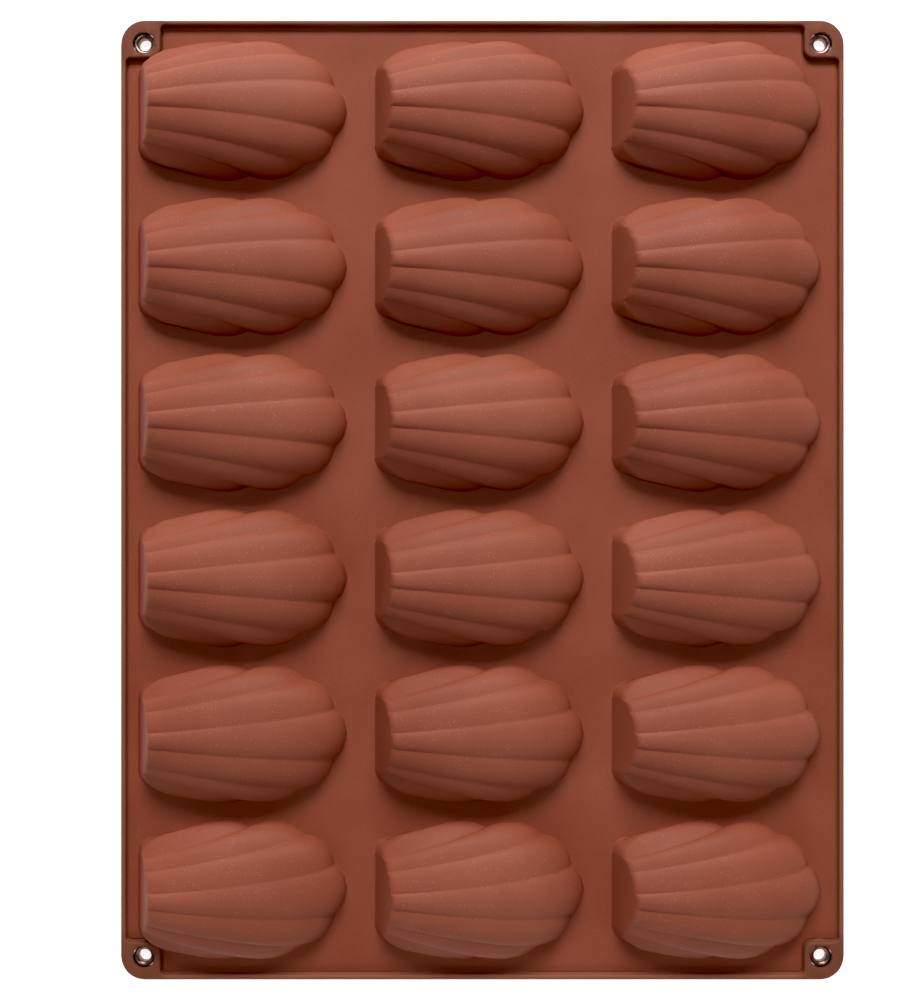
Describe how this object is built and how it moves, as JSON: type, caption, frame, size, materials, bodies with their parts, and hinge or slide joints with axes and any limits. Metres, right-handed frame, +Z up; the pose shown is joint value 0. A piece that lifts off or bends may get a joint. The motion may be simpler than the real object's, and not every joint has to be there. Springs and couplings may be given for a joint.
{
  "type": "madeleine pan",
  "caption": "Flexible baking mould with rows of shell-shaped cups, a raised rim and metal eyelets in its corner pads.",
  "frame": {"origin": "centre of the flat baking face that the mould rests on, turned over as in the picture", "axes": "+Z up out of the cups' outsides, +X from the cups' flat hinge ends to their scalloped tips, +Y along the long side towards the picture's top"},
  "size_m": [0.3, 0.398, 0.021],
  "materials": {
    "silicone": "matt satin silicone",
    "eyelet_metal": "bright nickel plate"
  },
  "bodies": {
    "root": {"silicone_sheet": "silicone", "shell_cup_row1_col1": "silicone", "shell_cup_row1_col2": "silicone", "shell_cup_row1_col3": "silicone", "shell_cup_row2_col1": "silicone", "shell_cup_row2_col2": "silicone", "shell_cup_row2_col3": "silicone", "shell_cup_row3_col1": "silicone", "shell_cup_row3_col2": "silicone", "shell_cup_row3_col3": "silicone", "shell_cup_row4_col1": "silicone", "shell_cup_row4_col2": "silicone", "shell_cup_row4_col3": "silicone", "shell_cup_row5_col1": "silicone", "shell_cup_row5_col2": "silicone", "shell_cup_row5_col3": "silicone", "shell_cup_row6_col1": "silicone", "shell_cup_row6_col2": "silicone", "shell_cup_row6_col3": "silicone", "eyelet_back_left": "eyelet_metal", "eyelet_back_right": "eyelet_metal", "eyelet_front_left": "eyelet_metal", "eyelet_front_right": "eyelet_metal", "eyelet_washer_back_left": "eyelet_metal", "eyelet_washer_back_right": "eyelet_metal", "eyelet_washer_front_left": "eyelet_metal", "eyelet_washer_front_right": "eyelet_metal"}
  },
  "joints": []
}
